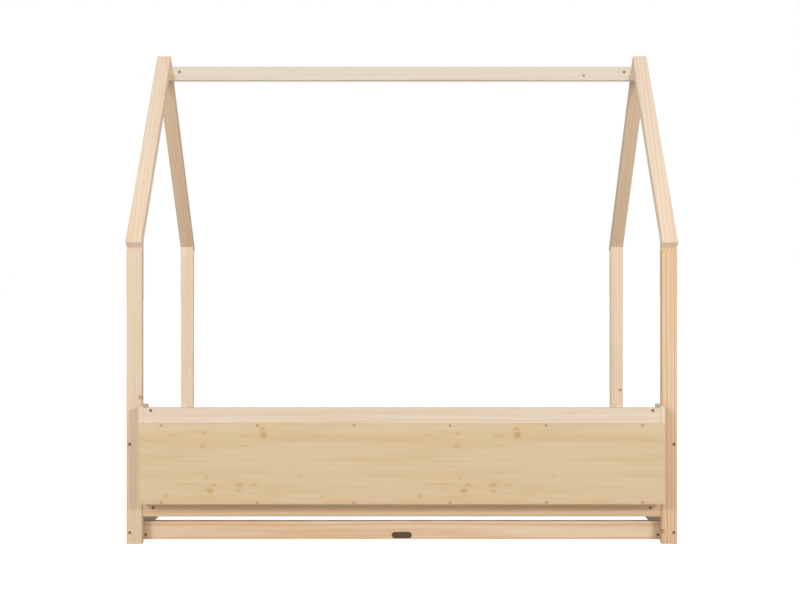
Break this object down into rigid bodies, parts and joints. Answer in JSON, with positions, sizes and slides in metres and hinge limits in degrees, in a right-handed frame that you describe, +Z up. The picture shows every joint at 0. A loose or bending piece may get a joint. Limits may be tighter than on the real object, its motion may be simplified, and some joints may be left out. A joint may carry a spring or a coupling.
{
  "type": "house frame bed",
  "caption": "Small child's pine bed shaped like a house: posts, sloping rafters and a ridge beam over a low slatted base, with a shallow book rack along the rear side.",
  "frame": {"origin": "on the floor, under the middle of the bed's outer box", "axes": "+Z up, +X along the bed, +Y from the rear side with the book rack to the front side where the child climbs in"},
  "size_m": [1.446, 0.8078, 1.3526],
  "materials": {
    "pine_post": "bare sanded pine, upright grain",
    "pine_rafter": "bare sanded pine, grain along the slope",
    "pine_ridge": "bare sanded pine, pale",
    "pine_end_rail": "bare sanded pine",
    "pine_long_rail": "bare sanded pine",
    "pine_base": "bare sanded pine",
    "pine_rack": "bare sanded pine",
    "printed_board": "thin board with a printed pine pattern, satin",
    "bronze_plate": "dark aged bronze, satin",
    "dark_steel": "dark bronze-coloured steel, satin",
    "zinc_steel": "yellow zinc plated",
    "beech_dowel": "fluted beech"
  },
  "bodies": {
    "root": {"post_rear_left": "pine_post", "post_rear_right": "pine_post", "post_front_left": "pine_post", "post_front_right": "pine_post", "rafter_rear_left": "pine_rafter", "rafter_rear_right": "pine_rafter", "rafter_front_left": "pine_rafter", "rafter_front_right": "pine_rafter", "ridge_block_left": "pine_rafter", "ridge_block_right": "pine_rafter", "ridge_beam": "pine_ridge", "end_rail_lower_left": "pine_end_rail", "end_rail_lower_right": "pine_end_rail", "end_rail_upper_left": "pine_end_rail", "end_rail_upper_right": "pine_end_rail", "side_rail_rear": "pine_long_rail", "side_rail_front": "pine_long_rail", "floor_rail_rear": "pine_long_rail", "floor_rail_front": "pine_long_rail", "slat_ledger_rear": "pine_base", "slat_ledger_front": "pine_base", "slat_01": "pine_base", "slat_02": "pine_base", "slat_03": "pine_base", "slat_04": "pine_base", "slat_05": "pine_base", "slat_06": "pine_base", "slat_07": "pine_base", "slat_08": "pine_base", "slat_09": "pine_base", "slat_10": "pine_base", "slat_11": "pine_base", "slat_12": "pine_base", "rack_cheek_left": "pine_rack", "rack_cheek_right": "pine_rack", "rack_top_rail": "pine_rack", "rack_floor": "pine_rack", "rack_inner_rail": "pine_rack", "rack_back_panel": "printed_board", "end_panel_left": "printed_board", "end_panel_right": "printed_board", "oval_plate": "bronze_plate", "plate_pins": "bronze_plate", "post_bolts": "dark_steel", "side_rail_bolts": "dark_steel", "floor_rail_bolts": "dark_steel", "ridge_bolts": "dark_steel", "rack_rail_bolts": "dark_steel", "rack_mount_bolts": "dark_steel", "barrel_nuts": "dark_steel", "rack_panel_screws": "zinc_steel", "rack_floor_screws": "zinc_steel", "slat_screws": "zinc_steel", "ledger_screws": "zinc_steel", "post_dowels": "beech_dowel", "rail_dowels": "beech_dowel", "roof_dowels": "beech_dowel", "apex_dowels": "beech_dowel"}
  },
  "joints": []
}
